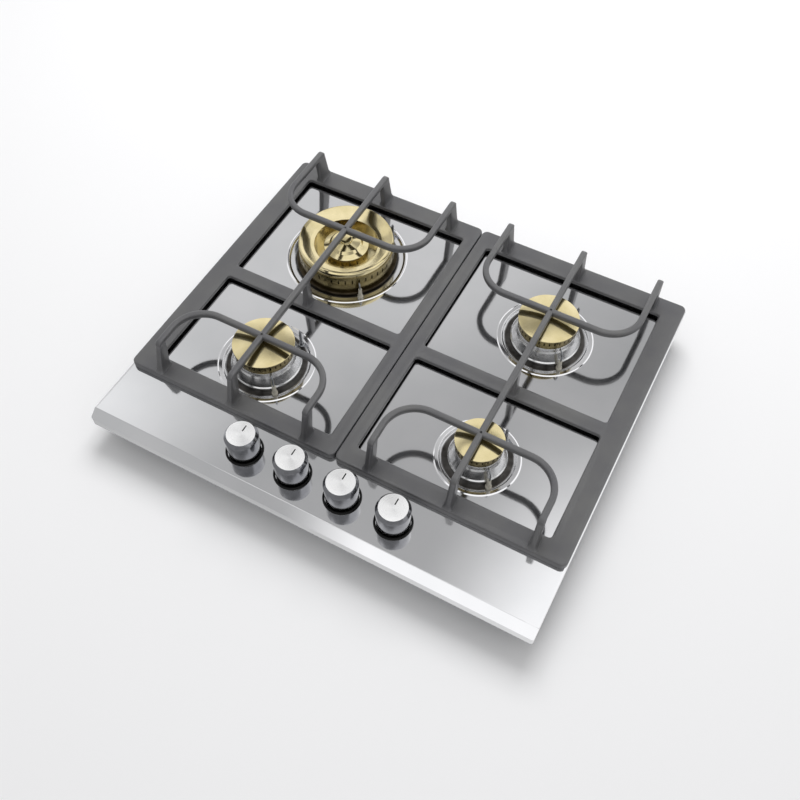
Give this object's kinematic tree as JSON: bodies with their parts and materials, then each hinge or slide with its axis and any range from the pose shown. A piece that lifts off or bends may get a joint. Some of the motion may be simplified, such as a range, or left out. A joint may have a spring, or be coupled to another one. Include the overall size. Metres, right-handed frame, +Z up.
{
  "type": "gas cooktop",
  "caption": "Built-in gas hob: polished steel plate with brass burners, lift-off pan supports and push-and-turn knobs in a row at the front.",
  "frame": {"origin": "centre of the bounding box's bottom, on the base pan's underside", "axes": "+X along the width to the right as a cook sees it, +Y to the rear, +Z up"},
  "size_m": [0.6, 0.51, 0.111],
  "materials": {
    "polished_steel": "mirror-polished stainless sheet",
    "seal_foam": "closed-cell foam strip",
    "galvanised_steel": "bright zinc-coated sheet",
    "grey_enamel": "satin dark-grey enamel on welded steel bar",
    "burner_brass": "polished pale brass",
    "cast_aluminium": "satin cast aluminium",
    "satin_chrome": "spun satin chrome",
    "stem_steel": "ground steel",
    "black_plastic": "matte black heat-resistant plastic",
    "module_plastic": "matte dark moulding",
    "igniter_ceramic": "glazed white ceramic"
  },
  "bodies": {
    "hob_body": {"top_plate": "polished_steel", "worktop_seal": "seal_foam", "base_pan": "galvanised_steel", "gas_rail": "galvanised_steel", "gas_inlet_nipple": "burner_brass", "mains_gland": "black_plastic", "knob_bezel_1": "black_plastic", "knob_bezel_2": "black_plastic", "knob_bezel_3": "black_plastic", "knob_bezel_4": "black_plastic", "ignition_module": "module_plastic", "tap_body_1": "cast_aluminium", "tap_body_2": "cast_aluminium", "tap_body_3": "cast_aluminium", "tap_body_4": "cast_aluminium", "feed_pipe_rear_left": "cast_aluminium", "burner_cup_rear_left": "cast_aluminium", "burner_head_rear_left": "burner_brass", "spark_igniter_rear_left": "igniter_ceramic", "flame_probe_rear_left": "stem_steel", "feed_pipe_front_left": "cast_aluminium", "burner_cup_front_left": "cast_aluminium", "burner_head_front_left": "burner_brass", "spark_igniter_front_left": "igniter_ceramic", "flame_probe_front_left": "stem_steel", "feed_pipe_rear_right": "cast_aluminium", "burner_cup_rear_right": "cast_aluminium", "burner_head_rear_right": "burner_brass", "spark_igniter_rear_right": "igniter_ceramic", "flame_probe_rear_right": "stem_steel", "feed_pipe_front_right": "cast_aluminium", "burner_cup_front_right": "cast_aluminium", "burner_head_front_right": "burner_brass", "spark_igniter_front_right": "igniter_ceramic", "flame_probe_front_right": "stem_steel"},
    "plug_1": {"tap_plug_1": "burner_brass"},
    "knob_and_stem_1": {"tap_stem_1": "stem_steel", "knob_1": "satin_chrome"},
    "plug_2": {"tap_plug_2": "burner_brass"},
    "knob_and_stem_2": {"tap_stem_2": "stem_steel", "knob_2": "satin_chrome"},
    "plug_3": {"tap_plug_3": "burner_brass"},
    "knob_and_stem_3": {"tap_stem_3": "stem_steel", "knob_3": "satin_chrome"},
    "plug_4": {"tap_plug_4": "burner_brass"},
    "knob_and_stem_4": {"tap_stem_4": "stem_steel", "knob_4": "satin_chrome"},
    "grate_left": {"grate_frame_left": "grey_enamel", "grate_spine_left": "grey_enamel", "grate_rear_bow_left": "grey_enamel", "grate_front_bow_left": "grey_enamel"},
    "grate_right": {"grate_frame_right": "grey_enamel", "grate_spine_right": "grey_enamel", "grate_rear_bow_right": "grey_enamel", "grate_front_bow_right": "grey_enamel"},
    "cap_rear_left": {"burner_cap_rear_left": "burner_brass"},
    "cap_front_left": {"burner_cap_front_left": "burner_brass"},
    "cap_rear_right": {"burner_cap_rear_right": "burner_brass"},
    "cap_front_right": {"burner_cap_front_right": "burner_brass"},
    "ring_cap": {"ring_cap_rear_left": "burner_brass"}
  },
  "joints": [
    {"name": "knob_1_turn", "type": "hinge", "parent": "hob_body", "child": "plug_1", "pos_m": [-0.102, -0.206, 0.04], "axis": [0, 0, 1], "range_deg": [0, 180]},
    {"name": "knob_1_push", "type": "slide", "parent": "plug_1", "child": "knob_and_stem_1", "axis": [0, 0, -1], "range_m": [0, 0.0035], "stiffness_N_per_m": 2000, "springref_m": -0.003},
    {"name": "knob_2_turn", "type": "hinge", "parent": "hob_body", "child": "plug_2", "pos_m": [-0.034, -0.206, 0.04], "axis": [0, 0, 1], "range_deg": [0, 180]},
    {"name": "knob_2_push", "type": "slide", "parent": "plug_2", "child": "knob_and_stem_2", "axis": [0, 0, -1], "range_m": [0, 0.0035], "stiffness_N_per_m": 2000, "springref_m": -0.003},
    {"name": "knob_3_turn", "type": "hinge", "parent": "hob_body", "child": "plug_3", "pos_m": [0.034, -0.206, 0.04], "axis": [0, 0, 1], "range_deg": [0, 180]},
    {"name": "knob_3_push", "type": "slide", "parent": "plug_3", "child": "knob_and_stem_3", "axis": [0, 0, -1], "range_m": [0, 0.0035], "stiffness_N_per_m": 2000, "springref_m": -0.003},
    {"name": "knob_4_turn", "type": "hinge", "parent": "hob_body", "child": "plug_4", "pos_m": [0.102, -0.206, 0.04], "axis": [0, 0, 1], "range_deg": [0, 180]},
    {"name": "knob_4_push", "type": "slide", "parent": "plug_4", "child": "knob_and_stem_4", "axis": [0, 0, -1], "range_m": [0, 0.0035], "stiffness_N_per_m": 2000, "springref_m": -0.003},
    {"name": "grate_left_lift", "type": "slide", "parent": "hob_body", "child": "grate_left", "axis": [0, 0, 1], "range_m": [0, 0.06]},
    {"name": "grate_right_lift", "type": "slide", "parent": "hob_body", "child": "grate_right", "axis": [0, 0, 1], "range_m": [0, 0.06]},
    {"name": "cap_rear_left_lift", "type": "slide", "parent": "hob_body", "child": "cap_rear_left", "axis": [0, 0, 1], "range_m": [0, 0.0035]},
    {"name": "cap_front_left_lift", "type": "slide", "parent": "hob_body", "child": "cap_front_left", "axis": [0, 0, 1], "range_m": [0, 0.0035]},
    {"name": "cap_rear_right_lift", "type": "slide", "parent": "hob_body", "child": "cap_rear_right", "axis": [0, 0, 1], "range_m": [0, 0.0035]},
    {"name": "cap_front_right_lift", "type": "slide", "parent": "hob_body", "child": "cap_front_right", "axis": [0, 0, 1], "range_m": [0, 0.0035]},
    {"name": "ring_cap_lift", "type": "slide", "parent": "hob_body", "child": "ring_cap", "axis": [0, 0, 1], "range_m": [0, 0.0035]}
  ]
}
